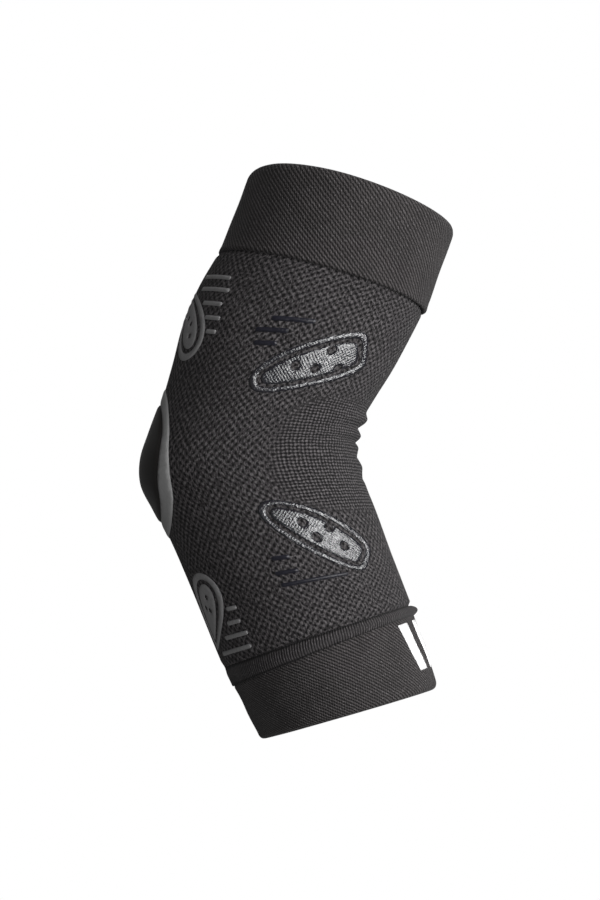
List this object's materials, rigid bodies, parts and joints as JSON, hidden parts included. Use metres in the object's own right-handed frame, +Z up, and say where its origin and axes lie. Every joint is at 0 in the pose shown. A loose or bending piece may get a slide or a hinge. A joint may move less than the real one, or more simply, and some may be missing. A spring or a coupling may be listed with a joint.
{
  "type": "elbow sleeve with elbow pad",
  "caption": "Bent knitted compression elbow sleeve with turned cuffs, a ringed soft pad over the point of the elbow and raised teardrop prints.",
  "frame": {"origin": "centre of the upper opening's rim, on the upper cuff's axis", "axes": "+Z up, +X to the front, where the crook of the elbow is, +Y to the right side; the point of the elbow is towards -X and the bend axis is along Y"},
  "size_m": [0.1424, 0.095, 0.2555],
  "materials": {
    "cuff_knit": "fine twill rib knit, matt charcoal",
    "mesh_knit": "dotted mesh knit, matt charcoal",
    "crook_knit": "fine vertical rib knit, matt charcoal",
    "elastic": "woven elastic band, black",
    "seam_thread": "linking thread, black",
    "pad_cover": "smooth stretch knit, black",
    "pad_core": "soft viscoelastic foam",
    "pad_lining": "brushed lining knit, black",
    "pad_ring": "smooth grey silicone border",
    "print_silicone": "glossy black silicone",
    "mark_print": "white transfer print"
  },
  "bodies": {
    "upper_arm": {"crook_panel": "crook_knit", "upper_arm_tube": "mesh_knit", "upper_cuff_elastic": "elastic", "upper_cuff_welt": "cuff_knit", "upper_linking_seam": "seam_thread", "upper_rear_left_bars": "print_silicone", "upper_rear_left_drop": "print_silicone", "upper_rear_left_ring": "print_silicone", "upper_rear_right_bars": "print_silicone", "upper_rear_right_drop": "print_silicone", "upper_rear_right_ring": "print_silicone", "upper_side_left_bars": "print_silicone", "upper_side_left_drop": "print_silicone", "upper_side_left_ring": "print_silicone", "upper_side_right_bars": "print_silicone", "upper_side_right_drop": "print_silicone", "upper_side_right_ring": "print_silicone"},
    "forearm": {"cuff_mark": "mark_print", "elbow_back_panel": "mesh_knit", "elbow_pad_core": "pad_core", "elbow_pad_cover": "pad_cover", "elbow_pad_lining": "pad_lining", "elbow_pad_ring": "pad_ring", "forearm_roll": "mesh_knit", "forearm_tube": "mesh_knit", "lower_cuff_elastic": "elastic", "lower_cuff_welt": "cuff_knit", "lower_linking_seam": "seam_thread", "lower_rear_left_bars": "print_silicone", "lower_rear_left_drop": "print_silicone", "lower_rear_left_ring": "print_silicone", "lower_rear_right_bars": "print_silicone", "lower_rear_right_drop": "print_silicone", "lower_rear_right_ring": "print_silicone", "lower_side_left_bars": "print_silicone", "lower_side_left_drop": "print_silicone", "lower_side_left_ring": "print_silicone", "lower_side_right_bars": "print_silicone", "lower_side_right_drop": "print_silicone", "lower_side_right_ring": "print_silicone"}
  },
  "joints": [
    {"name": "elbow_bend", "type": "hinge", "parent": "upper_arm", "child": "forearm", "pos_m": [-0.0362, 0, -0.1134], "axis": [0, -1, 0], "range_deg": [-40, 70], "stiffness_Nm_per_rad": 0.4, "deforming": ["crook_panel", "elbow_back_panel", "elbow_pad_ring", "elbow_pad_cover", "elbow_pad_core", "elbow_pad_lining"]}
  ]
}
